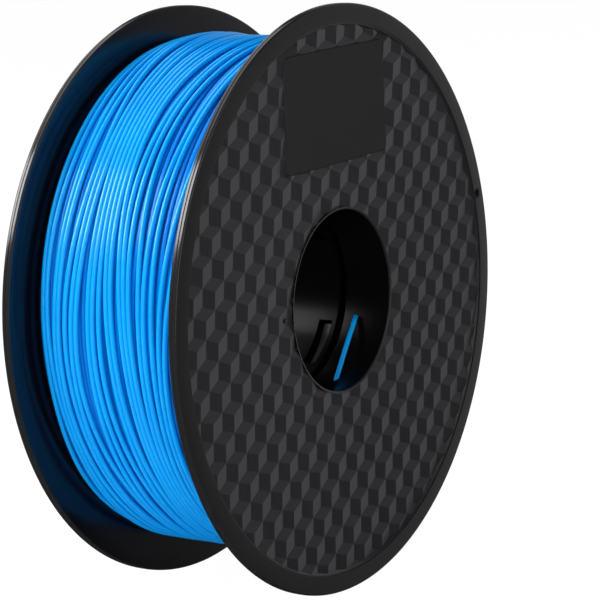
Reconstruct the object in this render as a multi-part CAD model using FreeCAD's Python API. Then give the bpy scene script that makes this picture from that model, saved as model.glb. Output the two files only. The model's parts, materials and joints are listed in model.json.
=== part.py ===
"""Filament spool: two snap-together halves, the winding they carry and the strand's start tail.

Frame: millimetres. The origin is on the bore's axis, midway between the two outer faces.
+Y runs along the bore from the front flange to the rear flange, +Z is up (the label field is at
the top of the front face) and +X is to the right of someone who faces the front flange.
Angles are measured round the bore from +X towards +Z.
"""
import FreeCAD, Part
import math
import os

Vec = FreeCAD.Vector

# overall sizes
FLANGE_RADIUS = 100.0
SPOOL_WIDTH = 68.1

# flange: a raised flat border, and a dished panel that falls from it towards the bore
RIM_THICKNESS = 2.85
BORDER_WIDTH = 6.4
PANEL_STEP = 0.25
PANEL_DISH = 2.05
PANEL_THICKNESS = 2.4
RIM_ROUND = 0.5

# hub: bore tube inside, winding barrel outside, radial webs between them
BORE_RADIUS = 30.9
BORE_WALL = 2.2
HUB_GAP = 9.7
BARREL_WALL = 2.2
BORE_EDGE_ROUND = 0.6
TUBE_END_ROUND = 0.5
WEB_COUNT = 8
WEB_THICKNESS = 1.6
WEB_FIRST_ANGLE = 22.5

# where the halves meet, measured from the front face
FRONT_TUBE_END = 20.75
TUBE_GROOVE = 2.7
BARREL_SEAM = 22.05
SEAM_CLEARANCE = 0.1
SPIGOT_LENGTH = 6.0
SPIGOT_WALL = 1.8
SPIGOT_CLEARANCE = 0.2
SPIGOT_ROOT = 6.0

# snap hooks on the front half and their windows in the rear half's bore tube
HOOK_COUNT = 4
HOOK_FIRST_ANGLE = 45.0
HOOK_SPREAD = 30.0
HOOK_THICKNESS = 2.0
HOOK_CLEARANCE = 0.3
BARB_REACH = 1.2
BARB_FLAT = 2.2
BARB_RAMP = 3.4
HOOK_NOSE = 0.6
CATCH_CLEARANCE = 0.1
WINDOW_SPREAD = 34.0
WINDOW_LENGTH = 5.4
WINDOW_BRIDGE = 1.6

# small moulded details of a flange
STRAND_HOLE_RADIUS = 1.7
STRAND_HOLE_ANGLE = 13.0
STRAND_HOLE_INSET = 4.5
GATE_MARK_RADIUS = 1.8
GATE_MARK_DEPTH = 0.45
GATE_NUB_RADIUS = 0.8
GATE_NUB_HEIGHT = 0.3
GATE_MARK_ANGLE = 179.0
GATE_MARK_FROM_BORE = 5.1

# filament
FILAMENT_DIAMETER = 1.75
FILL_MARGIN = 12.0
SHOULDER_DROP = 1.6
SHOULDER_WIDTH = 8.0
WINDING_CLEARANCE = 0.15
BARREL_CLEARANCE = 0.1
TAIL_EXIT_ANGLE = -74.1
TAIL_EXIT_DEPTH = 12.4
TAIL_TIP_ANGLE = -24.1
TAIL_TIP_DEPTH = 15.0
TAIL_TOUCH = 0.05
THREADING_CLEARANCE = 0.35
THREADING_LEAD = 3.0

FRONT = -SPOOL_WIDTH / 2
REAR = SPOOL_WIDTH / 2
PANEL_RADIUS = FLANGE_RADIUS - BORDER_WIDTH
BORE_TUBE_RADIUS = BORE_RADIUS + BORE_WALL
BARREL_INNER_RADIUS = BORE_TUBE_RADIUS + HUB_GAP
BARREL_RADIUS = BARREL_INNER_RADIUS + BARREL_WALL
WINDING_RADIUS = FLANGE_RADIUS - FILL_MARGIN
HOOK_INNER_RADIUS = BORE_TUBE_RADIUS + HOOK_CLEARANCE
HOOK_OUTER_RADIUS = HOOK_INNER_RADIUS + HOOK_THICKNESS

TUBE_SEAM_FRONT = FRONT + FRONT_TUBE_END
TUBE_SEAM_REAR = TUBE_SEAM_FRONT + TUBE_GROOVE
BARREL_SEAM_Y = FRONT + BARREL_SEAM
SPIGOT_END = BARREL_SEAM_Y - SPIGOT_LENGTH
WINDOW_FRONT = TUBE_SEAM_REAR + WINDOW_BRIDGE
WINDOW_REAR = WINDOW_FRONT + WINDOW_LENGTH

SPIN_AXIS = Vec(0, -1, 0)
CENTRE = Vec(0, 0, 0)


def panel_depth(radius):
    """How far the dished outer face lies under the border's plane at this radius."""
    fall = (PANEL_RADIUS - radius) / (PANEL_RADIUS - BORE_RADIUS)
    return PANEL_STEP + PANEL_DISH * fall


def back_depth(radius):
    """How far the flange's inner face lies under the border's plane at this radius."""
    at_barrel = panel_depth(BARREL_RADIUS) + PANEL_THICKNESS
    fall = (PANEL_RADIUS - radius) / (PANEL_RADIUS - BARREL_RADIUS)
    return RIM_THICKNESS + (at_barrel - RIM_THICKNESS) * max(0.0, fall)


def polar(radius, angle, y):
    """A point at this radius and angle round the bore."""
    turn = math.radians(angle)
    return Vec(radius * math.cos(turn), y, radius * math.sin(turn))


def spun(section, start=0.0, sweep=360.0):
    """Turn a closed section of (radius, y) corners round the bore's axis."""
    corners = [Vec(radius, y, 0) for radius, y in section]
    face = Part.Face(Part.makePolygon(corners + corners[:1]))
    face.rotate(CENTRE, SPIN_AXIS, start)
    return face.revolve(CENTRE, SPIN_AXIS, sweep)


def block(inner, outer, low, high):
    """The rectangular section between two radii and two places along the axis."""
    return [(inner, low), (outer, low), (outer, high), (inner, high)]


def rounded(solid, size, circles):
    """Round the full circular edges that lie at the given (radius, y) places."""
    edges = []
    for edge in solid.Edges:
        if not isinstance(edge.Curve, Part.Circle):
            continue
        for radius, y in circles:
            if abs(edge.Curve.Radius - radius) < 1e-4 and abs(edge.Curve.Center.y - y) < 1e-4:
                edges.append(edge)
    return solid.makeFillet(size, edges)


def flange_outline(side):
    """Corners of a flange from its bore edge, over the face and rim, to the barrel.

    side is +1 for the rear flange and -1 for the front one.
    """
    face = side * SPOOL_WIDTH / 2
    return [
        (BORE_RADIUS, face - side * panel_depth(BORE_RADIUS)),
        (PANEL_RADIUS, face - side * panel_depth(PANEL_RADIUS)),
        (PANEL_RADIUS, face),
        (FLANGE_RADIUS, face),
        (FLANGE_RADIUS, face - side * RIM_THICKNESS),
        (PANEL_RADIUS, face - side * RIM_THICKNESS),
        (BARREL_RADIUS, face - side * back_depth(BARREL_RADIUS)),
    ]


def hub_floor(side):
    """Corners of the pocket between barrel and bore tube, where it meets the flange."""
    face = side * SPOOL_WIDTH / 2
    return [
        (BARREL_INNER_RADIUS, face - side * (panel_depth(BARREL_INNER_RADIUS) + PANEL_THICKNESS)),
        (BORE_TUBE_RADIUS, face - side * (panel_depth(BORE_TUBE_RADIUS) + PANEL_THICKNESS)),
    ]


def webs(low, high):
    """Radial webs that tie the bore tube to the barrel, each sunk half into both walls."""
    inner = BORE_TUBE_RADIUS - BORE_WALL / 2
    length = BARREL_INNER_RADIUS + BARREL_WALL / 2 - inner
    made = []
    for number in range(WEB_COUNT):
        web = Part.makeBox(length, high - low, WEB_THICKNESS, Vec(inner, low, -WEB_THICKNESS / 2))
        web.rotate(CENTRE, SPIN_AXIS, WEB_FIRST_ANGLE + number * 360.0 / WEB_COUNT)
        made.append(web)
    return made


def hook_angles(spread):
    """Where each sector of this spread starts, centred on its hook."""
    return [HOOK_FIRST_ANGLE + number * 360.0 / HOOK_COUNT - spread / 2 for number in range(HOOK_COUNT)]


def hooks():
    """Cantilever hooks: a root on the front bore tube, a free arm, and a barb that points inwards."""
    root = FRONT + panel_depth(BORE_TUBE_RADIUS) + PANEL_THICKNESS / 2
    catch = WINDOW_FRONT + CATCH_CLEARANCE
    ramp = catch + BARB_FLAT
    tip = ramp + BARB_RAMP
    barb = HOOK_INNER_RADIUS - HOOK_CLEARANCE - BARB_REACH
    section = [
        (BORE_TUBE_RADIUS - BORE_WALL / 2, root),
        (HOOK_OUTER_RADIUS, root),
        (HOOK_OUTER_RADIUS, tip),
        (HOOK_OUTER_RADIUS - HOOK_NOSE, tip + HOOK_NOSE),
        (HOOK_INNER_RADIUS, tip + HOOK_NOSE),
        (HOOK_INNER_RADIUS, tip),
        (barb, ramp),
        (barb, catch),
        (HOOK_INNER_RADIUS, catch),
        (HOOK_INNER_RADIUS, TUBE_SEAM_FRONT),
        (BORE_TUBE_RADIUS - BORE_WALL / 2, TUBE_SEAM_FRONT),
    ]
    return [spun(section, start, HOOK_SPREAD) for start in hook_angles(HOOK_SPREAD)]


def windows():
    """Openings in the rear bore tube that the barbs click into."""
    section = block(BORE_RADIUS - BORE_WALL, HOOK_INNER_RADIUS, WINDOW_FRONT, WINDOW_REAR)
    return [spun(section, start, WINDOW_SPREAD) for start in hook_angles(WINDOW_SPREAD)]


def strand_hole():
    """The hole in a flange's border that the strand's free end is parked in."""
    radius = FLANGE_RADIUS - STRAND_HOLE_INSET
    start = polar(radius, STRAND_HOLE_ANGLE, -SPOOL_WIDTH)
    return Part.makeCylinder(STRAND_HOLE_RADIUS, 2 * SPOOL_WIDTH, start, Vec(0, 1, 0))


def with_gate_mark(solid, side):
    """Sink the round gate mark into the panel beside the bore, with the gate's nub in its middle."""
    radius = BORE_RADIUS + GATE_MARK_FROM_BORE
    floor = side * (SPOOL_WIDTH / 2 - panel_depth(radius) - GATE_MARK_DEPTH)
    place = polar(radius, GATE_MARK_ANGLE, floor)
    outwards = Vec(0, side, 0)
    recess = Part.makeCylinder(GATE_MARK_RADIUS, SPOOL_WIDTH, place, outwards)
    root = place - outwards * GATE_MARK_DEPTH
    nub = Part.makeCylinder(GATE_NUB_RADIUS, GATE_NUB_HEIGHT + GATE_MARK_DEPTH, root, outwards)
    return solid.cut(recess).fuse(nub)


def tail_line():
    """The start tail's line: its tip in the bore, where it leaves the wall, and its direction."""
    inside = BORE_RADIUS - FILAMENT_DIAMETER / 2 - TAIL_TOUCH
    tip = polar(inside, TAIL_TIP_ANGLE, FRONT + TAIL_TIP_DEPTH)
    wall = polar(BORE_RADIUS, TAIL_EXIT_ANGLE, FRONT + TAIL_EXIT_DEPTH)
    return tip, wall, (tip - wall).normalize()


def tail_bar(radius, start, reach):
    """A round bar on the tail's line, from a point on it outwards to this reach from the axis."""
    along = tail_line()[2]
    bar = Part.makeCylinder(radius, 2 * reach, start, along * -1)
    return bar.common(Part.makeCylinder(reach, SPOOL_WIDTH, Vec(0, FRONT, 0), Vec(0, 1, 0)))


def threading_hole():
    """The slanted way through barrel and bore tube that the start tail is threaded by."""
    radius = FILAMENT_DIAMETER / 2 + THREADING_CLEARANCE
    _, wall, along = tail_line()
    return tail_bar(radius, wall + along * THREADING_LEAD, BARREL_RADIUS + BARREL_WALL)


def front_half():
    section = flange_outline(-1) + [
        (BARREL_RADIUS, BARREL_SEAM_Y),
        (BARREL_INNER_RADIUS, BARREL_SEAM_Y),
        *hub_floor(-1),
        (BORE_TUBE_RADIUS, TUBE_SEAM_FRONT),
        (BORE_RADIUS, TUBE_SEAM_FRONT),
    ]
    shell = spun(section)
    shell = rounded(shell, RIM_ROUND, [(FLANGE_RADIUS, FRONT), (FLANGE_RADIUS, FRONT + RIM_THICKNESS)])
    shell = rounded(shell, BORE_EDGE_ROUND, [(BORE_RADIUS, FRONT + panel_depth(BORE_RADIUS))])
    shell = rounded(shell, TUBE_END_ROUND, [(BORE_RADIUS, TUBE_SEAM_FRONT)])
    web_start = FRONT + panel_depth(BORE_TUBE_RADIUS) + PANEL_THICKNESS / 2
    shell = shell.fuse(webs(web_start, SPIGOT_END - SPIGOT_CLEARANCE) + hooks())
    shell = shell.cut([strand_hole(), threading_hole()])
    return with_gate_mark(shell, -1)


def rear_half():
    spigot_radius = BARREL_INNER_RADIUS - SPIGOT_CLEARANCE
    spigot_inner = spigot_radius - SPIGOT_WALL
    section = flange_outline(+1) + [
        (BARREL_RADIUS, BARREL_SEAM_Y + SEAM_CLEARANCE),
        (spigot_radius, BARREL_SEAM_Y + SEAM_CLEARANCE),
        (spigot_radius, SPIGOT_END),
        (spigot_inner, SPIGOT_END),
        (spigot_inner, BARREL_SEAM_Y + SPIGOT_ROOT),
        (BARREL_INNER_RADIUS, BARREL_SEAM_Y + SPIGOT_ROOT),
        *hub_floor(+1),
        (BORE_TUBE_RADIUS, TUBE_SEAM_REAR),
        (BORE_RADIUS, TUBE_SEAM_REAR),
    ]
    shell = spun(section)
    shell = rounded(shell, RIM_ROUND, [(FLANGE_RADIUS, REAR), (FLANGE_RADIUS, REAR - RIM_THICKNESS)])
    shell = rounded(shell, BORE_EDGE_ROUND, [(BORE_RADIUS, REAR - panel_depth(BORE_RADIUS))])
    web_end = REAR - panel_depth(BORE_TUBE_RADIUS) - PANEL_THICKNESS / 2
    shell = shell.fuse(webs(TUBE_SEAM_REAR, web_end))
    shell = shell.cut([strand_hole(), *windows()])
    return with_gate_mark(shell, +1)


def filament_winding():
    """The wound strand as one closed body, whose outer layer slopes off at both flanges."""
    rear_edge = []
    for radius in (WINDING_RADIUS - SHOULDER_DROP, BARREL_RADIUS + BARREL_CLEARANCE):
        rear_edge.append((radius, REAR - back_depth(radius) - WINDING_CLEARANCE))
    shoulder = (WINDING_RADIUS, rear_edge[0][1] - SHOULDER_WIDTH)
    outline = [shoulder, *rear_edge]
    return spun([(radius, -y) for radius, y in reversed(outline)] + outline)


def filament_start_tail():
    """The strand's start, threaded from the barrel into the bore, with a square-cut tip."""
    return tail_bar(FILAMENT_DIAMETER / 2, tail_line()[0], BARREL_RADIUS)


NODES = {
    "front_half": front_half,
    "rear_half": rear_half,
    "filament_winding": filament_winding,
    "filament_start_tail": filament_start_tail,
}

os.makedirs("parts", exist_ok=True)
for name, make in NODES.items():
    shape = make().removeSplitter()
    if len(shape.Solids) != 1 or not shape.isValid():
        raise ValueError(f"{name} is not one sound solid")
    solid = shape.Solids[0]
    solid.exportStep(f"parts/{name}.step")
    box = solid.BoundBox
    print(f"{name}: {solid.Volume / 1000:.1f} cm3, x {box.XMin:.2f} to {box.XMax:.2f}, "
          f"y {box.YMin:.2f} to {box.YMax:.2f}, z {box.ZMin:.2f} to {box.ZMax:.2f}")
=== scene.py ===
"""A filament spool: two black moulded halves with a tumbling-block relief, and the blue strand.

Metres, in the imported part's frame: the bore lies along Y, the front flange faces -Y and +Z is up.
"""
import json
import math
import random

import bmesh
import bpy
from mathutils import Matrix, Quaternion, Vector


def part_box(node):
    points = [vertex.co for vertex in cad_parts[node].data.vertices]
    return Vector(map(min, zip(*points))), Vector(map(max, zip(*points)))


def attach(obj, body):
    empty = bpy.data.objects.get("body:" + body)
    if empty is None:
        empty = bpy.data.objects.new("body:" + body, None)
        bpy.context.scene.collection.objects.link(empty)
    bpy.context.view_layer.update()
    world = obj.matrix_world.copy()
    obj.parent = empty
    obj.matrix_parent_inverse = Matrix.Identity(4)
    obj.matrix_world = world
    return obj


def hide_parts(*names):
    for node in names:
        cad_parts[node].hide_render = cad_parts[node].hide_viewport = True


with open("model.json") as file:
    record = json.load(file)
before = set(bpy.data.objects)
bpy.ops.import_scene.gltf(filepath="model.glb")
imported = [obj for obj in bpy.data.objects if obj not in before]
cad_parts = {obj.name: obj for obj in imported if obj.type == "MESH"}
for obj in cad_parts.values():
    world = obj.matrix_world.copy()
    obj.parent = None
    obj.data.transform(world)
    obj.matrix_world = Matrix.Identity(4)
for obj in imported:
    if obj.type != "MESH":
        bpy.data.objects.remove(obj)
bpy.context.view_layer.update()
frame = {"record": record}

MM = 0.001
BODY = "root"

# the spool's sizes, from the frame
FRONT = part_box("front_half")[0].y
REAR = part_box("rear_half")[1].y
FLANGE_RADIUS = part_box("front_half")[1].x
WINDING_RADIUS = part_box("filament_winding")[1].x
BORE_RADIUS = frame["record"]["mounts"][0]["dims"]["r_mm"] * MM

# flange: border, dished panel and rim
RIM_THICKNESS = 2.85 * MM
PANEL_RADIUS = FLANGE_RADIUS - 6.4 * MM
PANEL_STEP = 0.25 * MM
PANEL_DISH = 2.05 * MM
PANEL_THICKNESS = 2.4 * MM
RIM_INNER_EDGE = 0.9 * RIM_THICKNESS
RIM_ROUND = 0.6 * MM
RIM_GROOVE_WIDTH = 0.4 * MM
RIM_GROOVE_DEPTH = 0.25 * MM
BORE_EDGE_ROUND = 0.6 * MM

# hub: bore tubes, barrel, webs
WALL = 2.2 * MM
BORE_TUBE_RADIUS = BORE_RADIUS + WALL
BARREL_INNER_RADIUS = BORE_TUBE_RADIUS + 9.7 * MM
BARREL_RADIUS = BARREL_INNER_RADIUS + WALL
FRONT_TUBE_END = FRONT + 20.75 * MM
REAR_TUBE_START = FRONT_TUBE_END + 2.7 * MM
BARREL_SEAM = FRONT + 22.05 * MM
SEAM_CLEARANCE = 0.1 * MM
SPIGOT_END = BARREL_SEAM - 6.0 * MM
SPIGOT_ROOT = BARREL_SEAM + 6.0 * MM
SPIGOT_WALL = 1.8 * MM
SPIGOT_CLEARANCE = 0.2 * MM
TUBE_END_ROUND = 0.5 * MM
WEB_COUNT = 8
WEB_THICKNESS = 1.6 * MM
WEB_FIRST_ANGLE = 22.5
WEB_SETBACK = 0.3 * MM

# snap hooks and their windows
HOOK_ANGLES = (45.0, 135.0, 225.0, 315.0)
HOOK_SPREAD = 30.0
HOOK_INNER_RADIUS = BORE_TUBE_RADIUS + 0.3 * MM
HOOK_OUTER_RADIUS = HOOK_INNER_RADIUS + 2.0 * MM
BARB_RADIUS = BORE_TUBE_RADIUS - 1.2 * MM
WINDOW_SPREAD = 34.0
WINDOW_FRONT = REAR_TUBE_START + 1.6 * MM
WINDOW_REAR = WINDOW_FRONT + 5.4 * MM
HOOK_ROOT_END = FRONT_TUBE_END - 0.6 * MM
BARB_CATCH = WINDOW_FRONT + 0.1 * MM
BARB_RAMP = BARB_CATCH + 2.2 * MM
HOOK_TIP = BARB_RAMP + 3.4 * MM
HOOK_NOSE = 0.6 * MM

# small moulded details
STRAND_HOLE_RADIUS = 1.7 * MM
STRAND_HOLE_CIRCLE = FLANGE_RADIUS - 4.5 * MM
STRAND_HOLE_ANGLE = 13.0
GATE_MARK_RADIUS = 1.8 * MM
GATE_MARK_DEPTH = 0.45 * MM
GATE_NUB_RADIUS = 0.8 * MM
GATE_NUB_ROOT = 0.4 * MM
GATE_NUB_HEIGHT = 0.3 * MM
GATE_MARK_CIRCLE = BORE_RADIUS + 5.1 * MM
GATE_MARK_ANGLE = 179.0

# relief of the panel: rows of blocks, each a top, a left and a right facet that meet at its corner
BLOCK_WIDTH = 12.0 * MM
BLOCK_EDGE = 5.9 * MM
BLOCK_TOP = 4.52 * MM
BLOCK_FALL = 0.5 * MM
BLOCK_ROW = BLOCK_EDGE + BLOCK_TOP / 2
BLOCK_CORNER = Vector((1.5 * MM, 0, 10.7 * MM))
RIDGE_SOFTNESS = 0.1 * MM
RELIEF_MARGIN = 0.5 * MM
RELIEF_BORE_MARGIN = 0.9 * MM
RELIEF_ABOVE = 3.0 * MM
RELIEF_BELOW = 7.0 * MM
RELIEF_TOOL_HEIGHT = 12.0 * MM
LABEL_WIDTH = 62.0 * MM
LABEL_HEIGHT = 38.0 * MM
LABEL_CENTRE = 67.0 * MM
LABEL_CORNER = 1.0 * MM
LABEL_TOOL_REACH = 8.0 * MM

# strand
STRAND_RADIUS = 0.875 * MM
OUTER_TURNS = 22
LOWER_TURNS = 31
TURN_SAMPLES = 72
OUTER_SWAY = 2.8 * MM
LOWER_SWAY = 0.5 * MM
LAYERS_DEPTH = 2.4 * STRAND_RADIUS
TUCK_SAMPLES = 6
SETTLE_STEPS = 60
SMOOTH_EVERY = 9
HEIGHT_SMOOTHINGS = 5
WINDING_SEED = 5
SHOULDER_DROP = 1.6 * MM
SHOULDER_WIDTH = 8.0 * MM
SWAY_WAVES = (
    (1.04, 0.8), (2.07, 0.55), (2.94, 0.45), (5.05, 0.18), (1.63, 0.4), (3.41, 0.3), (6.3, 0.12))
LEAST_HEIGHT = 1.1 * STRAND_RADIUS
FLANGE_REACH = 1.1 * STRAND_RADIUS
BODY_BARREL_GAP = 0.1 * MM
BODY_FLANGE_GAP = 0.15 * MM
RIB_TURNS = (-60, -20, 20, 60)
RIB_SHARE = 0.48
UNEVEN_LEAN = 1.3 * MM
UNEVEN_ANGLE = 105.0
CREST_HEIGHT = 1.4 * MM
CREST_PLACE = 18.0 * MM
CREST_WIDTH = 6.0 * MM
TAIL_EXIT_ANGLE = -74.1
TAIL_EXIT_DEPTH = 12.4 * MM
TAIL_TIP_ANGLE = -24.1
TAIL_TIP_DEPTH = 15.0 * MM
TAIL_TOUCH = 0.05 * MM
THREADING_RADIUS = STRAND_RADIUS + 0.35 * MM
THREADING_LEAD = 3.0 * MM
THREADING_LENGTH = 28.0 * MM
TAIL_BOW = 0.25 * MM
TAIL_LAST_STRETCH = 2.0 * MM
TAIL_EDGE_ROUND = 0.12 * MM

ROUND_STEPS = 256
TINY = 0.001 * MM

# places of the finishes in a half's material list
BORDER, RELIEF, LABEL, POLISHED, BORE, RIM = range(6)
PANEL_REACH = 4.0 * MM
HALF_SHARP_ANGLE = 28.0
STRAND_SHARP_ANGLE = 60.0


# ---------- modelling helpers ----------

def only(obj):
    """Selects one object alone and makes it the active one."""
    bpy.ops.object.select_all(action="DESELECT")
    obj.select_set(True)
    bpy.context.view_layer.objects.active = obj


def edit(obj, kind, wanted):
    """Opens an object in edit mode with only the wanted vertices, edges or faces selected."""
    only(obj)
    bpy.ops.object.mode_set(mode="EDIT")
    bpy.ops.mesh.select_mode(type=kind)
    bpy.ops.mesh.select_all(action="DESELECT")
    mesh = bmesh.from_edit_mesh(obj.data)
    items = {"VERT": mesh.verts, "EDGE": mesh.edges, "FACE": mesh.faces}[kind]
    for item in items:
        if wanted(item):
            item.select_set(True)
    bmesh.update_edit_mesh(obj.data)


def close(obj):
    """Leaves edit mode with doubles merged and every face turned outwards."""
    only(obj)
    bpy.ops.object.mode_set(mode="EDIT")
    bpy.ops.mesh.select_all(action="SELECT")
    bpy.ops.mesh.remove_doubles(threshold=TINY)
    bpy.ops.mesh.normals_make_consistent(inside=False)
    bpy.ops.object.mode_set(mode="OBJECT")
    return obj


def place_in_mesh(obj):
    """Moves the object's place, turn and size into its mesh."""
    only(obj)
    bpy.ops.object.transform_apply(location=True, rotation=True, scale=True)
    return obj


def joined(objects):
    """Joins several objects into the first."""
    bpy.ops.object.select_all(action="DESELECT")
    for obj in objects:
        obj.select_set(True)
    bpy.context.view_layer.objects.active = objects[0]
    bpy.ops.object.join()
    return objects[0]


def turned_copies(obj, angles):
    """Copies an object round the bore's axis, joins the copies and drops the pattern piece."""
    made = []
    for angle in angles:
        twin = obj.copy()
        twin.data = obj.data.copy()
        bpy.context.scene.collection.objects.link(twin)
        twin.rotation_euler = (0, -math.radians(angle), 0)
        made.append(place_in_mesh(twin))
    bpy.data.objects.remove(obj)
    return joined(made)


def carve(obj, tool, operation="DIFFERENCE"):
    """Cuts, adds or keeps what two closed solids share, and drops the tool."""
    only(obj)
    change = obj.modifiers.new("solid", "BOOLEAN")
    change.object = tool
    change.operation = operation
    change.solver = "EXACT"
    bpy.ops.object.modifier_apply(modifier=change.name)
    bpy.data.objects.remove(tool)
    return obj


def drawn(name, corners):
    """Draws a flat outline from corner to corner by extruding a single point, and fills it."""
    bpy.ops.object.select_all(action="DESELECT")
    bpy.ops.mesh.primitive_plane_add(size=MM, location=corners[0])
    obj = bpy.context.object
    obj.name = name
    edit(obj, "VERT", lambda vert: True)
    bpy.ops.mesh.merge(type="CENTER")
    for here, there in zip(corners, corners[1:]):
        bpy.ops.mesh.extrude_region_move(TRANSFORM_OT_translate={"value": there - here})
    bpy.ops.mesh.select_all(action="SELECT")
    bpy.ops.mesh.edge_face_add()
    bpy.ops.object.mode_set(mode="OBJECT")
    return place_in_mesh(obj)


def round_corners(obj, corners, size, segments=6):
    """Rounds the outline's corners at these places."""
    def wanted(vert):
        return any((vert.co - corner).length < TINY * 10 for corner in corners)
    edit(obj, "VERT", wanted)
    bpy.ops.mesh.bevel(offset=size, segments=segments, affect="VERTICES")
    bpy.ops.object.mode_set(mode="OBJECT")


def section_points(section):
    """A turned section's (radius, y) corners as points beside the bore's axis."""
    return [Vector((radius, y, 0)) for radius, y in section]


def turned(name, section, rounds=()):
    """Turns a section of (radius, y) corners all the way round the bore's axis."""
    obj = drawn(name, section_points(section))
    for corners, size in rounds:
        round_corners(obj, section_points(corners), size)
    edit(obj, "FACE", lambda face: True)
    bpy.ops.mesh.delete(type="ONLY_FACE")
    bpy.ops.mesh.select_mode(type="EDGE")
    bpy.ops.mesh.select_all(action="SELECT")
    bpy.ops.mesh.spin(steps=ROUND_STEPS, angle=math.tau, center=(0, 0, 0), axis=(0, 1, 0))
    bpy.ops.object.mode_set(mode="OBJECT")
    return close(obj)


def sector(name, section, spread):
    """Turns a section part of the way round, centred on +X, in an odd number of steps, ends closed."""
    obj = drawn(name, section_points(section))
    obj.rotation_euler = (0, math.radians(spread) / 2, 0)
    place_in_mesh(obj)
    edit(obj, "FACE", lambda face: True)
    steps = math.ceil(ROUND_STEPS * spread / 360) // 2 * 2 + 1
    bpy.ops.mesh.spin(steps=steps, angle=math.radians(spread), center=(0, 0, 0), axis=(0, 1, 0))
    bpy.ops.object.mode_set(mode="OBJECT")
    return close(obj)


def polar(radius, angle, y):
    """The point at this radius, angle in degrees and place along the axis."""
    turn = math.radians(angle)
    return Vector((radius * math.cos(turn), y, radius * math.sin(turn)))


def rod(name, start, end, radius, sides=32):
    """A round bar between two points, used as a cutting tool."""
    along = end - start
    bpy.ops.object.select_all(action="DESELECT")
    bpy.ops.mesh.primitive_cylinder_add(
        vertices=sides, radius=radius, depth=along.length, location=(start + end) / 2,
        rotation=along.to_track_quat("Z", "Y").to_euler())
    obj = bpy.context.object
    obj.name = name
    return place_in_mesh(obj)


# ---------- spool halves ----------

def panel_depth(radius):
    """How far the dished panel lies under the border's plane at this radius."""
    fall = (PANEL_RADIUS - radius) / (PANEL_RADIUS - BORE_RADIUS)
    return PANEL_STEP + PANEL_DISH * min(1.0, max(0.0, fall))


def back_depth(radius):
    """How far the flange's inner face lies under the border's plane at this radius."""
    at_barrel = panel_depth(BARREL_RADIUS) + PANEL_THICKNESS
    fall = (PANEL_RADIUS - radius) / (PANEL_RADIUS - BARREL_RADIUS)
    return RIM_THICKNESS + (at_barrel - RIM_THICKNESS) * fall


def flange_section(side):
    """Section of a flange from bore edge over face and rim to barrel; side is +1 rear, -1 front."""
    face = REAR if side > 0 else FRONT
    return [
        (BORE_RADIUS, face - side * panel_depth(BORE_RADIUS)),
        (PANEL_RADIUS, face - side * PANEL_STEP),
        (PANEL_RADIUS, face),
        (FLANGE_RADIUS, face),
        (FLANGE_RADIUS, face - side * (RIM_THICKNESS - RIM_GROOVE_WIDTH) / 2),
        (FLANGE_RADIUS - RIM_GROOVE_DEPTH, face - side * RIM_THICKNESS / 2),
        (FLANGE_RADIUS, face - side * (RIM_THICKNESS + RIM_GROOVE_WIDTH) / 2),
        (FLANGE_RADIUS, face - side * RIM_THICKNESS),
        (PANEL_RADIUS, face - side * RIM_THICKNESS),
        (BARREL_RADIUS, face - side * back_depth(BARREL_RADIUS)),
    ]


def pocket_floor(side):
    """Corners of the pocket between barrel and bore tube where it meets the flange."""
    face = REAR if side > 0 else FRONT
    radii = (BARREL_INNER_RADIUS, BORE_TUBE_RADIUS)
    return [(radius, face - side * (panel_depth(radius) + PANEL_THICKNESS)) for radius in radii]


def flange_rounds(section):
    """Which corners of a flange's section are rounded, and how much."""
    return [
        ([section[0]], BORE_EDGE_ROUND),
        ([section[3], section[7]], RIM_ROUND),
    ]


def webs(low, high):
    """Radial webs that tie the bore tube to the barrel."""
    inner = BORE_TUBE_RADIUS - WALL / 2
    outer = BARREL_INNER_RADIUS + WALL / 2
    bpy.ops.object.select_all(action="DESELECT")
    bpy.ops.mesh.primitive_cube_add(size=1, location=((inner + outer) / 2, (low + high) / 2, 0))
    web = bpy.context.object
    web.scale = (outer - inner, high - low, WEB_THICKNESS)
    place_in_mesh(web)
    return turned_copies(web, [WEB_FIRST_ANGLE + n * 360 / WEB_COUNT for n in range(WEB_COUNT)])


def hooks():
    """The front half's snap hooks: roots on its bore tube, free arms and inward barbs."""
    root_radius = BORE_TUBE_RADIUS - WALL / 2
    root = FRONT + panel_depth(BORE_TUBE_RADIUS) + PANEL_THICKNESS / 2
    section = [
        (root_radius, root), (HOOK_OUTER_RADIUS, root), (HOOK_OUTER_RADIUS, HOOK_TIP),
        (HOOK_OUTER_RADIUS - HOOK_NOSE, HOOK_TIP + HOOK_NOSE), (HOOK_INNER_RADIUS, HOOK_TIP + HOOK_NOSE),
        (HOOK_INNER_RADIUS, HOOK_TIP), (BARB_RADIUS, BARB_RAMP), (BARB_RADIUS, BARB_CATCH),
        (HOOK_INNER_RADIUS, BARB_CATCH), (HOOK_INNER_RADIUS, HOOK_ROOT_END),
        (root_radius, HOOK_ROOT_END),
    ]
    return turned_copies(sector("hook", section, HOOK_SPREAD), HOOK_ANGLES)


def windows():
    """The openings in the rear bore tube that the barbs click into."""
    inner, outer = BORE_RADIUS - MM, HOOK_INNER_RADIUS
    section = [(inner, WINDOW_FRONT), (outer, WINDOW_FRONT), (outer, WINDOW_REAR), (inner, WINDOW_REAR)]
    return turned_copies(sector("window", section, WINDOW_SPREAD), HOOK_ANGLES)


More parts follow.
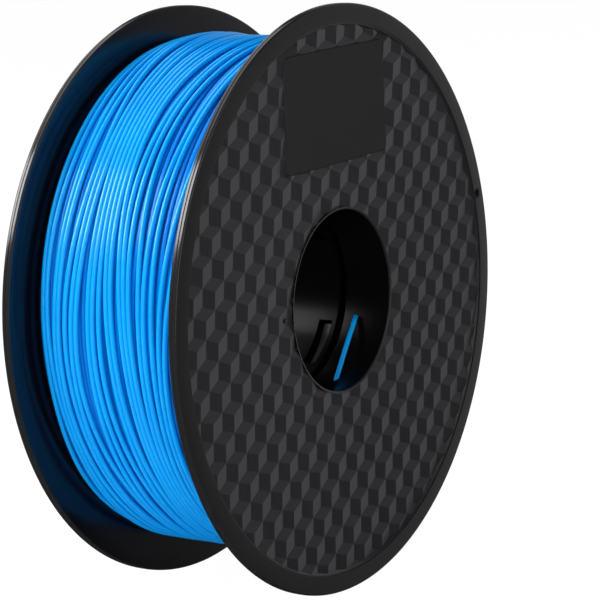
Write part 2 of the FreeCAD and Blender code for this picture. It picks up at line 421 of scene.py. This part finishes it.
def block_rows():
    """The relief as an open sheet on y = 0: one block's three facets, repeated over the whole flange."""
    half = BLOCK_WIDTH / 2
    rhombus = [Vector((0, 0, 0)), Vector((half, BLOCK_FALL, BLOCK_TOP / 2)),
               Vector((0, 2 * BLOCK_FALL, BLOCK_TOP)), Vector((-half, BLOCK_FALL, BLOCK_TOP / 2))]
    sheet = drawn("relief", rhombus)
    edit(sheet, "EDGE", lambda edge: any(vert.co.length < TINY for vert in edge.verts))
    bpy.ops.mesh.extrude_region_move(TRANSFORM_OT_translate={"value": (0, BLOCK_FALL, -BLOCK_EDGE)})
    bpy.ops.object.mode_set(mode="OBJECT")
    across = 2 * math.ceil(FLANGE_RADIUS / BLOCK_WIDTH) + 1
    row_pairs = math.ceil(FLANGE_RADIUS / BLOCK_ROW) + 1
    steps = (
        (across, (BLOCK_WIDTH, 0, 0)), (2, (half, 0, -BLOCK_ROW)), (row_pairs, (0, 0, -2 * BLOCK_ROW)))
    for count, step in steps:
        rows = sheet.modifiers.new("rows", "ARRAY")
        rows.count = count
        rows.use_relative_offset = False
        rows.use_constant_offset = True
        rows.constant_offset_displace = step
        only(sheet)
        bpy.ops.object.modifier_apply(modifier=rows.name)
    columns_left = across // 2
    rows_up = 2 * (row_pairs // 2)
    sheet.location = BLOCK_CORNER + Vector((-columns_left * BLOCK_WIDTH, 0, rows_up * BLOCK_ROW))
    return close(place_in_mesh(sheet))


def label_block():
    """A block with sloping sides that has the blank label field's outline at the panel's surface."""
    reach = LABEL_TOOL_REACH
    level = FRONT + panel_depth(LABEL_CENTRE)
    half, rise = LABEL_WIDTH / 2 - reach, LABEL_HEIGHT / 2 - reach
    ways = ((-1, -1), (1, -1), (1, 1), (-1, 1))
    corners = [Vector((x * half, level - reach, LABEL_CENTRE + z * rise)) for x, z in ways]
    label = drawn("label", corners)
    round_corners(label, corners, LABEL_CORNER)
    edit(label, "FACE", lambda face: True)
    bpy.ops.mesh.extrude_region_move(TRANSFORM_OT_translate={"value": (0, 2 * reach, 0)})
    growth = ((half + 2 * reach) / half, 1, (rise + 2 * reach) / rise)
    bpy.ops.transform.resize(value=growth, center_override=(0, level + reach, LABEL_CENTRE))
    bpy.ops.object.mode_set(mode="OBJECT")
    return close(label)


def relief_cutter(side):
    """The solid that is cut from a panel so that the relief is left; side is +1 rear, -1 front."""
    sheet = block_rows()
    mesh = sheet.data
    for vert in mesh.vertices:
        vert.co.y += FRONT + panel_depth(math.hypot(vert.co.x, vert.co.z))
    edit(sheet, "EDGE", lambda edge: True)
    bpy.ops.mesh.bevel(offset=RIDGE_SOFTNESS, segments=1, affect="EDGES")
    bpy.ops.mesh.select_all(action="SELECT")
    bpy.ops.mesh.extrude_region_move(TRANSFORM_OT_translate={"value": (0, -RELIEF_TOOL_HEIGHT, 0)})
    bpy.ops.object.mode_set(mode="OBJECT")
    close(sheet)
    inner, outer = BORE_RADIUS + RELIEF_BORE_MARGIN, PANEL_RADIUS - RELIEF_MARGIN
    low, high = FRONT + PANEL_STEP - RELIEF_ABOVE, FRONT + PANEL_STEP + RELIEF_BELOW
    section = [(inner, low), (outer + RELIEF_ABOVE, low), (outer - RELIEF_BELOW, high), (inner, high)]
    field = turned("field", section)
    field.rotation_euler = (0, math.pi / ROUND_STEPS, 0)
    place_in_mesh(field)
    if side < 0:
        carve(field, label_block())
    carve(field, sheet, "INTERSECT")
    if side > 0:
        field.scale = (1, -1, 1)
        close(place_in_mesh(field))
    return field


def moulded_details(half, side):
    """Cuts the strand hole, the gate mark and the relief into a half's flange."""
    carve(half, relief_cutter(side))
    carve(half, rod("strand_hole", polar(STRAND_HOLE_CIRCLE, STRAND_HOLE_ANGLE, 2 * FRONT),
                    polar(STRAND_HOLE_CIRCLE, STRAND_HOLE_ANGLE, 2 * REAR), STRAND_HOLE_RADIUS))
    face = REAR if side > 0 else FRONT
    floor = face - side * (panel_depth(GATE_MARK_CIRCLE) + GATE_MARK_DEPTH)
    outside = polar(GATE_MARK_CIRCLE, GATE_MARK_ANGLE, face + side * MM)
    inside = polar(GATE_MARK_CIRCLE, GATE_MARK_ANGLE, floor)
    carve(half, rod("gate_mark", inside, outside, GATE_MARK_RADIUS))
    root = polar(GATE_MARK_CIRCLE, GATE_MARK_ANGLE, floor - side * GATE_NUB_ROOT)
    tip = polar(GATE_MARK_CIRCLE, GATE_MARK_ANGLE, floor + side * GATE_NUB_HEIGHT)
    carve(half, rod("gate_nub", root, tip, GATE_NUB_RADIUS, sides=20), "UNION")
    return half


def tail_points():
    """The start tail's tip in the bore and the point where it leaves the bore tube's wall."""
    tip = polar(BORE_RADIUS - STRAND_RADIUS - TAIL_TOUCH, TAIL_TIP_ANGLE, FRONT + TAIL_TIP_DEPTH)
    wall = polar(BORE_RADIUS, TAIL_EXIT_ANGLE, FRONT + TAIL_EXIT_DEPTH)
    return tip, wall


def front_half():
    """The front flange with its short bore tube, barrel, webs, hooks and the strand's hole."""
    section = flange_section(-1) + [
        (BARREL_RADIUS, BARREL_SEAM), (BARREL_INNER_RADIUS, BARREL_SEAM), *pocket_floor(-1),
        (BORE_TUBE_RADIUS, FRONT_TUBE_END), (BORE_RADIUS, FRONT_TUBE_END)]
    rounds = flange_rounds(section) + [([section[-1]], TUBE_END_ROUND)]
    half = turned("front_half_shell", section, rounds)
    web_start = FRONT + panel_depth(BORE_TUBE_RADIUS) + PANEL_THICKNESS / 2
    carve(half, webs(web_start, SPIGOT_END - SPIGOT_CLEARANCE), "UNION")
    carve(half, hooks(), "UNION")
    tip, wall = tail_points()
    along = (tip - wall).normalized()
    lead, end = wall + along * THREADING_LEAD, wall - along * THREADING_LENGTH
    carve(half, rod("threading", lead, end, THREADING_RADIUS))
    return moulded_details(half, -1)


def rear_half():
    """The rear flange with the long bore tube, barrel, spigot, webs and the hooks' windows."""
    spigot = BARREL_INNER_RADIUS - SPIGOT_CLEARANCE
    section = flange_section(+1) + [
        (BARREL_RADIUS, BARREL_SEAM + SEAM_CLEARANCE), (spigot, BARREL_SEAM + SEAM_CLEARANCE),
        (spigot, SPIGOT_END), (spigot - SPIGOT_WALL, SPIGOT_END), (spigot - SPIGOT_WALL, SPIGOT_ROOT),
        (BARREL_INNER_RADIUS, SPIGOT_ROOT), *pocket_floor(+1),
        (BORE_TUBE_RADIUS, REAR_TUBE_START), (BORE_RADIUS, REAR_TUBE_START)]
    half = turned("rear_half_shell", section, flange_rounds(section))
    web_end = REAR - panel_depth(BORE_TUBE_RADIUS) - PANEL_THICKNESS / 2
    carve(half, webs(REAR_TUBE_START + WEB_SETBACK, web_end), "UNION")
    carve(half, windows())
    return moulded_details(half, +1)


def finish_half(half, side, materials):
    """Smooth shading on round surfaces, flat facets in the relief, and a finish for each surface."""
    only(half)
    bpy.ops.object.shade_smooth_by_angle(angle=math.radians(HALF_SHARP_ANGLE))
    for material in materials:
        half.data.materials.append(material)
    face_plane = REAR if side > 0 else FRONT
    for face in half.data.polygons:
        centre = face.center
        radius = math.hypot(centre.x, centre.z)
        depth = (face_plane - centre.y) * side
        outward = face.normal.y * side
        beside = abs(centre.x) < LABEL_WIDTH / 2
        level = abs(centre.z - LABEL_CENTRE) < LABEL_HEIGHT / 2
        on_panel = BORE_RADIUS < radius < PANEL_RADIUS and outward > 0 and depth < PANEL_REACH
        face.material_index = BORDER
        if on_panel and beside and level and side < 0:
            face.material_index = LABEL
        elif on_panel:
            face.material_index = RELIEF
            face.use_smooth = False
        # bore, tubes, webs and hooks take the darker, barely glossy finish: painted shade for the recess
        elif radius < BARREL_RADIUS:
            face.material_index = BORE
        elif radius > FLANGE_RADIUS - RIM_ROUND:
            face.material_index = RIM
        elif depth > RIM_INNER_EDGE:
            face.material_index = POLISHED
    return half


# ---------- strand ----------

def build_up(y, angle):
    """Radius of the outer layer: it slopes off at the flanges and is a little fuller at the top."""
    edge = REAR - back_depth(WINDING_RADIUS)
    to_flange = min(1.0, max(0.0, (edge - abs(y)) / SHOULDER_WIDTH))
    shoulder = SHOULDER_DROP * (1 - to_flange) ** 2
    turn = math.radians(angle)
    lean = UNEVEN_LEAN * math.cos(turn - math.radians(UNEVEN_ANGLE))
    crest = math.exp(-((y - CREST_PLACE) / CREST_WIDTH) ** 2) * (0.5 + 0.5 * math.sin(turn))
    return WINDING_RADIUS - shoulder + lean + CREST_HEIGHT * crest


def wander(rng, sway):
    """Sideways sway of a strand by turn number, as waves that run on from turn to turn."""
    waves = []
    for pace, share in SWAY_WAVES:
        waves.append((pace, rng.uniform(0, math.tau), sway * share))

    def drift(turns):
        return sum(size * math.sin(math.tau * pace * turns + phase) for pace, phase, size in waves)
    return drift


def laid_turns(rng, turns, half_width, sway, forwards):
    """Places along the axis of a strand that is laid from flange to flange, kept a strand apart."""
    count = turns * TURN_SAMPLES
    drift = wander(rng, sway)
    advance = 2 * half_width / count
    places = [-half_width + advance * k + drift(k / TURN_SAMPLES) for k in range(count + 1)]
    for step in range(SETTLE_STEPS):
        for k in range(count + 1 - TURN_SAMPLES):
            short = 2 * STRAND_RADIUS - (places[k + TURN_SAMPLES] - places[k])
            if short > 0:
                places[k] -= short / 2
                places[k + TURN_SAMPLES] += short / 2
        places = [min(half_width, max(-half_width, y)) for y in places]
        if step % SMOOTH_EVERY == 0:
            places = smoothed(places)
    return places if forwards else [-y for y in places]


def smoothed(values):
    """Evens out a row of values, keeping its two ends."""
    middle = [(a + 2 * b + c) / 4 for a, b, c in zip(values, values[1:], values[2:])]
    return [values[0], *middle, values[-1]]


def sample_angle(sample):
    """Angle round the barrel of a strand's sample number."""
    return 360 * sample / TURN_SAMPLES


def heights_over(places, below):
    """How far over the layer below each point of a strand lies when it rests in that layer's hollows."""
    turns_below = (len(below) - 1) // TURN_SAMPLES
    heights = []
    for sample, y in enumerate(places):
        column = range(sample % TURN_SAMPLES, turns_below * TURN_SAMPLES, TURN_SAMPLES)
        nearest = min(abs(y - below[k]) for k in column)
        height = math.sqrt(max(0.0, (2 * STRAND_RADIUS) ** 2 - nearest ** 2))
        heights.append(max(height, LEAST_HEIGHT))
    for _ in range(HEIGHT_SMOOTHINGS):
        heights = smoothed(heights)
    return heights


def tucked(heights):
    """Lets both ends of a strand dive between the turns below."""
    last = len(heights) - 1
    made = []
    for sample, height in enumerate(heights):
        share = min(1.0, min(sample, last - sample) / TUCK_SAMPLES)
        made.append(height * share * share * (3 - 2 * share))
    return made


def strand(name, points, sides=1):
    """A round strand that follows the points on one smooth spline, as a mesh."""
    curve = bpy.data.curves.new(name, "CURVE")
    curve.dimensions = "3D"
    spline = curve.splines.new("NURBS")
    spline.points.add(len(points) - 1)
    for point, place in zip(spline.points, points):
        point.co = (*place, 1)
    spline.order_u = 3
    spline.use_endpoint_u = True
    curve.resolution_u = 2
    curve.bevel_depth = STRAND_RADIUS
    curve.bevel_resolution = sides
    curve.use_fill_caps = True
    obj = bpy.data.objects.new(name, curve)
    bpy.context.scene.collection.objects.link(obj)
    only(obj)
    bpy.ops.object.convert(target="MESH")
    bpy.ops.object.shade_smooth_by_angle(angle=math.radians(STRAND_SHARP_ANGLE))
    return close(obj)


def wound(places, heights):
    """Points of a strand round the barrel, this far over the centre line of the lower visible layer."""
    points = []
    for sample, (y, height) in enumerate(zip(places, heights)):
        angle = sample_angle(sample)
        points.append(polar(build_up(y, angle) - LAYERS_DEPTH + height, angle, y))
    return points


def winding():
    """The wound strand: the outer layer, the layer that shows in its gaps, and the inner body."""
    rng = random.Random(WINDING_SEED)
    reach = REAR - back_depth(WINDING_RADIUS) - FLANGE_REACH
    lower = laid_turns(rng, LOWER_TURNS, reach, LOWER_SWAY, False)
    outer = laid_turns(rng, OUTER_TURNS, reach, OUTER_SWAY, True)
    outer_points = wound(outer, tucked(heights_over(outer, lower)))
    outer_strand = strand("winding_outer_layer", outer_points, sides=3)
    lower_strand = strand("winding_lower_layer", wound(lower, [0] * len(lower)))
    return outer_strand, lower_strand, winding_body()


def winding_body():
    """What lies under the visible layers: a ring, ribbed like strands side by side."""
    inner = BARREL_RADIUS + BODY_BARREL_GAP
    edge = REAR - back_depth(WINDING_RADIUS) - BODY_FLANGE_GAP
    inner_edge = REAR - back_depth(inner) - BODY_FLANGE_GAP
    radius = WINDING_RADIUS - LAYERS_DEPTH - STRAND_RADIUS
    ribs = int(edge / STRAND_RADIUS)
    pitch = 2 * edge / ribs
    outline = []
    for rib in range(ribs):
        for turn in RIB_TURNS:
            across = RIB_SHARE * math.sin(math.radians(turn)) / math.sin(math.radians(RIB_TURNS[-1]))
            fall = STRAND_RADIUS * (1 - math.cos(math.radians(turn)))
            outline.append((radius - fall, -edge + pitch * (rib + 0.5 + across)))
    body = turned("winding_body", [(inner, -inner_edge), *outline, (inner, inner_edge)])
    for vert in body.data.vertices:
        place = vert.co
        reach = math.hypot(place.x, place.z)
        angle = math.degrees(math.atan2(place.z, place.x))
        share = max(0.0, (reach - inner) / (radius - inner))
        grown = reach + share * (build_up(place.y, angle) - WINDING_RADIUS)
        vert.co = (place.x * grown / reach, place.y, place.z * grown / reach)
    return body


def start_tail():
    """The strand's start: threaded through barrel and bore tube, then a free, slightly bowed end."""
    tip, wall = tail_points()
    along = (tip - wall).normalized()
    outer_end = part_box("filament_start_tail")[0]
    reach = (wall - Vector((outer_end.x, wall.y, outer_end.z))).length
    inward = -Vector((wall.x + tip.x, 0, wall.z + tip.z)).normalized()
    middle = (tip + wall) / 2 + inward * TAIL_BOW
    points = [wall - along * reach * 0.97, wall - along * reach * 0.5, wall, middle,
              tip - along * TAIL_LAST_STRETCH, tip]
    tail = strand("start_tail", points, sides=3)
    edit(tail, "FACE", lambda face: len(face.verts) > 8)
    bpy.ops.mesh.bevel(offset=TAIL_EDGE_ROUND, segments=2, affect="EDGES")
    bpy.ops.object.mode_set(mode="OBJECT")
    return tail


# ---------- finishes ----------

BORDER_BLACK = (0.0085, 0.0085, 0.0095)
RELIEF_BLACK = (0.0122, 0.0122, 0.0142)
LABEL_BLACK = (0.008, 0.008, 0.008)
POLISHED_BLACK = (0.002, 0.002, 0.003)
# the bore's black is darker than the faces' and is used with almost no gloss: painted shade inside the
# bore and hub
BORE_PAINTED_SHADE_BLACK = (0.002, 0.002, 0.002)
RIM_BLACK = (0.013, 0.013, 0.014)
BLUE = (0.0, 0.335, 0.82)
BLUE_PATCHES = (0.0, 0.26, 0.74)
# a darker copy of the strand's blue for the lower layer and the body: painted shade where they lie in
# the outer layer's gaps and under it
PAINTED_SHADE_BLUE = (0.0, 0.19, 0.64)
PAINTED_SHADE_BLUE_PATCHES = (0.0, 0.14, 0.55)
GRAIN_DEPTH = 0.02 * MM
LINES_DEPTH = 0.02 * MM
RIPPLE_DEPTH = 0.03 * MM


def new_group(name, inputs, outputs):
    """An empty shader group with named sockets; inputs are (name, kind, value)."""
    group = bpy.data.node_groups.new(name, "ShaderNodeTree")
    for label, kind, value in inputs:
        group.interface.new_socket(label, in_out="INPUT", socket_type=kind).default_value = value
    for label, kind in outputs:
        group.interface.new_socket(label, in_out="OUTPUT", socket_type=kind)
    return group, group.nodes.new("NodeGroupInput"), group.nodes.new("NodeGroupOutput")


def add(tree, kind, **settings):
    """Adds a node; settings are its properties, and `values` holds its sockets' values."""
    node = tree.nodes.new(kind)
    for label, value in settings.pop("values", {}).items():
        node.inputs[label].default_value = value
    for label, value in settings.items():
        setattr(node, label, value)
    return node


def sum_of(tree, operation, first, second):
    """A math node fed by sockets or plain numbers."""
    node = add(tree, "ShaderNodeMath", operation=operation)
    for socket, value in zip(node.inputs, (first, second)):
        if isinstance(value, (int, float)):
            socket.default_value = value
        else:
            tree.links.new(value, socket)
    return node.outputs[0]


def grain_group():
    """Moulded plastic: faint clouds in colour and gloss, and a fine grain."""
    group, enter, leave = new_group(
        "moulded_grain",
        [("Colour", "NodeSocketColor", (0.02, 0.02, 0.02, 1)), ("Roughness", "NodeSocketFloat", 0.4),
         ("Cloudiness", "NodeSocketFloat", 0.15), ("Grain Scale", "NodeSocketFloat", 2600.0)],
        [("Colour", "NodeSocketColor"), ("Roughness", "NodeSocketFloat"), ("Height", "NodeSocketFloat")])
    place = add(group, "ShaderNodeTexCoord").outputs["Object"]
    cloud = add(group, "ShaderNodeTexNoise", values={"Scale": 34.0, "Detail": 4.0})
    grain = add(group, "ShaderNodeTexNoise", values={"Detail": 2.0})
    group.links.new(place, cloud.inputs["Vector"])
    group.links.new(place, grain.inputs["Vector"])
    group.links.new(enter.outputs["Grain Scale"], grain.inputs["Scale"])
    centred = sum_of(group, "SUBTRACT", cloud.outputs["Fac"], 0.5)
    swing = sum_of(group, "MULTIPLY", centred, enter.outputs["Cloudiness"])
    gain = sum_of(group, "ADD", swing, 1.0)
    tint = add(group, "ShaderNodeVectorMath", operation="SCALE")
    group.links.new(enter.outputs["Colour"], tint.inputs[0])
    group.links.new(gain, tint.inputs["Scale"])
    group.links.new(tint.outputs[0], leave.inputs["Colour"])
    rough = sum_of(group, "MULTIPLY", enter.outputs["Roughness"], gain)
    group.links.new(rough, leave.inputs["Roughness"])
    group.links.new(grain.outputs["Fac"], leave.inputs["Height"])
    return group


def lines_group():
    """The fine lines engraved in each facet: upright in left and right facets, level in top facets."""
    group, enter, leave = new_group(
        "facet_lines", [("Pitch", "NodeSocketFloat", 0.0006), ("Top Tilt", "NodeSocketFloat", 0.06)],
        [("Height", "NodeSocketFloat")])
    where = add(group, "ShaderNodeTexCoord")
    place = add(group, "ShaderNodeSeparateXYZ")
    facing = add(group, "ShaderNodeSeparateXYZ")
    group.links.new(where.outputs["Object"], place.inputs[0])
    group.links.new(where.outputs["Normal"], facing.inputs[0])
    top = sum_of(group, "GREATER_THAN", facing.outputs["Z"], enter.outputs["Top Tilt"])
    tau_share = sum_of(group, "DIVIDE", math.tau, enter.outputs["Pitch"])
    upright = sum_of(group, "SINE", sum_of(group, "MULTIPLY", place.outputs["X"], tau_share), 0.0)
    level = sum_of(group, "SINE", sum_of(group, "MULTIPLY", place.outputs["Z"], tau_share), 0.0)
    level_part = sum_of(group, "MULTIPLY", level, top)
    upright_part = sum_of(group, "MULTIPLY", upright, sum_of(group, "SUBTRACT", 1.0, top))
    group.links.new(sum_of(group, "ADD", level_part, upright_part), leave.inputs["Height"])
    return group


def new_material(name):
    """A material with its Principled shader."""
    material = bpy.data.materials.new(name)
    material.use_nodes = True
    return material, material.node_tree, material.node_tree.nodes["Principled BSDF"]


def bump(tree, height, distance, strength, shader, under=None):
    """Feeds a height into the shader's normal, on top of another bump if one is given."""
    node = add(tree, "ShaderNodeBump", values={"Distance": distance, "Strength": strength})
    tree.links.new(height, node.inputs["Height"])
    if under is not None:
        tree.links.new(under.outputs["Normal"], node.inputs["Normal"])
    tree.links.new(node.outputs["Normal"], shader.inputs["Normal"])
    return node


def black_plastic(name, grain, colour, roughness, cloudiness, grain_bump, shine=0.5):
    """Black moulded plastic with its own gloss and grain."""
    material, tree, shader = new_material(name)
    look = add(tree, "ShaderNodeGroup", node_tree=grain)
    look.inputs["Colour"].default_value = (*colour, 1)
    look.inputs["Roughness"].default_value = roughness
    look.inputs["Cloudiness"].default_value = cloudiness
    tree.links.new(look.outputs["Colour"], shader.inputs["Base Color"])
    tree.links.new(look.outputs["Roughness"], shader.inputs["Roughness"])
    shader.inputs["IOR"].default_value = 1.5
    shader.inputs["Specular IOR Level"].default_value = shine
    bump(tree, look.outputs["Height"], GRAIN_DEPTH, grain_bump, shader)
    return material


def relief_plastic(grain, lines):
    """The relief's plastic: satin, with fine engraved lines in every facet."""
    material = black_plastic("relief_plastic", grain, RELIEF_BLACK, 0.32, 0.2, 0.25)
    tree = material.node_tree
    shader = tree.nodes["Principled BSDF"]
    engraved = add(tree, "ShaderNodeGroup", node_tree=lines)
    bump(tree, engraved.outputs["Height"], LINES_DEPTH, 0.5, shader, tree.nodes["Bump"])
    return material


def strand_plastic(name, colour, deep, shine):
    """Glossy blue extruded plastic, a little deeper blue in patches along the strand."""
    material, tree, shader = new_material(name)
    place = add(tree, "ShaderNodeTexCoord").outputs["Object"]
    patches = add(tree, "ShaderNodeTexNoise", values={"Scale": 60.0, "Detail": 3.0})
    mix = add(tree, "ShaderNodeMix", data_type="RGBA")
    mix.inputs["A"].default_value = (*colour, 1)
    mix.inputs["B"].default_value = (*deep, 1)
    tree.links.new(place, patches.inputs["Vector"])
    tree.links.new(patches.outputs["Fac"], mix.inputs["Factor"])
    tree.links.new(mix.outputs["Result"], shader.inputs["Base Color"])
    shader.inputs["Roughness"].default_value = 0.2
    shader.inputs["IOR"].default_value = 1.5
    shader.inputs["Specular IOR Level"].default_value = shine
    ripple = add(tree, "ShaderNodeTexNoise", values={"Scale": 900.0, "Detail": 1.0})
    tree.links.new(place, ripple.inputs["Vector"])
    bump(tree, ripple.outputs["Fac"], RIPPLE_DEPTH, 0.3, shader)
    return material


# ---------- stage ----------

ROOM_DARK = 0.02
ROOM_LIGHT = 0.6
WALL_EDGE = 0.68
WALL_MIDDLE = 1.0
FLOOR_GLOW = 0.93
FLOOR_GLOW_STRENGTH = 1.06
ROOM_TINT = (0.97, 0.98, 1, 1)
CAMERA_PLACE = Vector((-591.1, -404.05, 148.1)) * MM
CAMERA_AIM = Vector((5.97, -9.84, -2.54)) * MM
CAMERA_ROLL = 3.43
CAMERA_LENS = 126.27
FLOOR_SIZE = 12.0


def camera():
    """The view from the front left, a little above."""
    data = bpy.data.cameras.new("camera")
    data.lens = CAMERA_LENS
    data.sensor_width = 36
    data.clip_start = 0.01
    obj = bpy.data.objects.new("camera", data)
    bpy.context.scene.collection.objects.link(obj)
    obj.location = CAMERA_PLACE
    level = (CAMERA_AIM - CAMERA_PLACE).to_track_quat("-Z", "Y")
    obj.rotation_mode = "QUATERNION"
    obj.rotation_quaternion = level @ Quaternion((0, 0, 1), -math.radians(CAMERA_ROLL))
    bpy.context.scene.camera = obj


def softbox(name, start, end, distance, depth, power, mirrored=True):
    """A rectangular light that spans two directions seen from the spool and faces its middle."""
    first = Vector(start).normalized() * distance
    last = Vector(end).normalized() * distance
    across = (last - first).normalized()
    centre = (first + last) / 2
    back = (centre - across * centre.dot(across)).normalized()
    data = bpy.data.lights.new(name, "AREA")
    data.shape = "RECTANGLE"
    data.size = (last - first).length
    data.size_y = depth
    data.energy = power
    obj = bpy.data.objects.new(name, data)
    obj.visible_glossy = mirrored
    obj.visible_camera = False
    bpy.context.scene.collection.objects.link(obj)
    obj.location = centre
    obj.rotation_euler = Matrix((across, back.cross(across), back)).transposed().to_euler()


def surroundings():
    """White to look at, and a dim room with a pale wall on the right that the gloss mirrors."""
    world = bpy.data.worlds.new("surroundings")
    world.use_nodes = True
    tree = world.node_tree
    output = tree.nodes["World Output"]
    room = tree.nodes["Background"]
    white = add(tree, "ShaderNodeBackground", values={"Color": (1, 1, 1, 1), "Strength": 1.0})
    way = add(tree, "ShaderNodeTexCoord").outputs["Generated"]
    split = add(tree, "ShaderNodeSeparateXYZ")
    wall = add(tree, "ShaderNodeMapRange", interpolation_type="SMOOTHSTEP", values={
        "From Min": WALL_EDGE, "From Max": WALL_MIDDLE, "To Min": ROOM_DARK, "To Max": ROOM_LIGHT})
    tree.links.new(way, split.inputs[0])
    tree.links.new(split.outputs["X"], wall.inputs["Value"])
    tree.links.new(wall.outputs["Result"], room.inputs["Strength"])
    room.inputs["Color"].default_value = ROOM_TINT
    seen = add(tree, "ShaderNodeLightPath").outputs["Is Camera Ray"]
    mix = add(tree, "ShaderNodeMixShader")
    tree.links.new(seen, mix.inputs["Fac"])
    tree.links.new(room.outputs[0], mix.inputs[1])
    tree.links.new(white.outputs[0], mix.inputs[2])
    tree.links.new(mix.outputs[0], output.inputs["Surface"])
    bpy.context.scene.world = world


def studio_floor():
    """A pale light table: it glows softly, takes a faint shadow and doesn't show in the gloss."""
    bpy.ops.object.select_all(action="DESELECT")
    bpy.ops.mesh.primitive_plane_add(size=FLOOR_SIZE, location=(0, 0, -FLANGE_RADIUS))
    floor = place_in_mesh(bpy.context.object)
    floor.name = "floor"
    material, tree, shader = new_material("floor")
    shader.inputs["Base Color"].default_value = (0.9, 0.9, 0.9, 1)
    shader.inputs["Roughness"].default_value = 0.8
    shader.inputs["Specular IOR Level"].default_value = 0.0
    glow = add(tree, "ShaderNodeEmission", values={"Strength": FLOOR_GLOW_STRENGTH})
    path = add(tree, "ShaderNodeLightPath")
    seen = sum_of(tree, "MULTIPLY", path.outputs["Is Camera Ray"], FLOOR_GLOW)
    clear = add(tree, "ShaderNodeBsdfTransparent")
    lit = add(tree, "ShaderNodeMixShader")
    tree.links.new(seen, lit.inputs["Fac"])
    tree.links.new(shader.outputs[0], lit.inputs[1])
    tree.links.new(glow.outputs[0], lit.inputs[2])
    mix = add(tree, "ShaderNodeMixShader")
    tree.links.new(path.outputs["Is Glossy Ray"], mix.inputs["Fac"])
    tree.links.new(lit.outputs[0], mix.inputs[1])
    tree.links.new(clear.outputs[0], mix.inputs[2])
    tree.links.new(mix.outputs[0], tree.nodes["Material Output"].inputs["Surface"])
    floor.data.materials.append(material)


def studio():
    """Pale floor, plain surroundings and soft lights."""
    studio_floor()
    surroundings()
    softbox("key", (-0.735, 0.539, 0.412), (-0.42, 0.539, 0.73), 1.2, 0.8, 14)
    softbox("overhead", (-0.3, 0.5, 0.8), (0.58, 0.539, 0.61), 1.3, 0.8, 4)
    softbox("left_fill", (-0.95, -0.1, 0.1), (-0.6, -0.75, 0.35), 1.5, 0.9, 12, mirrored=False)
    softbox("top_fill", (-0.6, 0.15, 0.8), (0.3, 0.1, 0.95), 1.4, 0.8, 7, mirrored=False)
    softbox("front_card", (-0.5, -1, 0.25), (0.5, -1, 0.25), 1.2, 0.9, 3)
    bpy.context.scene.view_settings.view_transform = "Standard"


def build():
    """Makes every piece, its finish and what it rides on."""
    grain = grain_group()
    lines = lines_group()
    border = black_plastic("border_plastic", grain, BORDER_BLACK, 0.38, 0.25, 0.3, shine=0.38)
    relief = relief_plastic(grain, lines)
    label = black_plastic("label_field_plastic", grain, LABEL_BLACK, 0.5, 0.1, 0.4, shine=0.33)
    polished = black_plastic("polished_plastic", grain, POLISHED_BLACK, 0.22, 0.2, 0.05)
    # painted shade: the bore and hub are given a darker black with almost no gloss
    bore = black_plastic("bore_plastic_painted_shade", grain, BORE_PAINTED_SHADE_BLACK, 0.26, 0.2, 0.1, shine=0.06)
    rim = black_plastic("rim_plastic", grain, RIM_BLACK, 0.18, 0.2, 0.1)
    finishes = (border, relief, label, polished, bore, rim)
    blue = strand_plastic("strand_blue", BLUE, BLUE_PATCHES, 0.45)
    # the lower layer and body get a darker copy of the same blue: painted shade, not a different
    # filament
    painted_shade_blue = strand_plastic("strand_blue_shaded", PAINTED_SHADE_BLUE, PAINTED_SHADE_BLUE_PATCHES, 0.2)

    made = [
        (finish_half(front_half(), -1, finishes), "front_half", "spool_plastic"),
        (finish_half(rear_half(), +1, finishes), "rear_half", "spool_plastic"),
    ]
    outer, lower, body = winding()
    for piece, material in ((outer, blue), (lower, painted_shade_blue), (body, painted_shade_blue)):
        piece.data.materials.append(material)
        made.append((piece, "filament_winding", "filament"))
    only(body)
    bpy.ops.object.shade_smooth_by_angle(angle=math.radians(STRAND_SHARP_ANGLE))
    tail = start_tail()
    tail.data.materials.append(blue)
    made.append((tail, "filament_start_tail", "filament"))
    for piece, node, slot in made:
        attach(piece, BODY)
        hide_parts(node)


camera()
studio()
build()
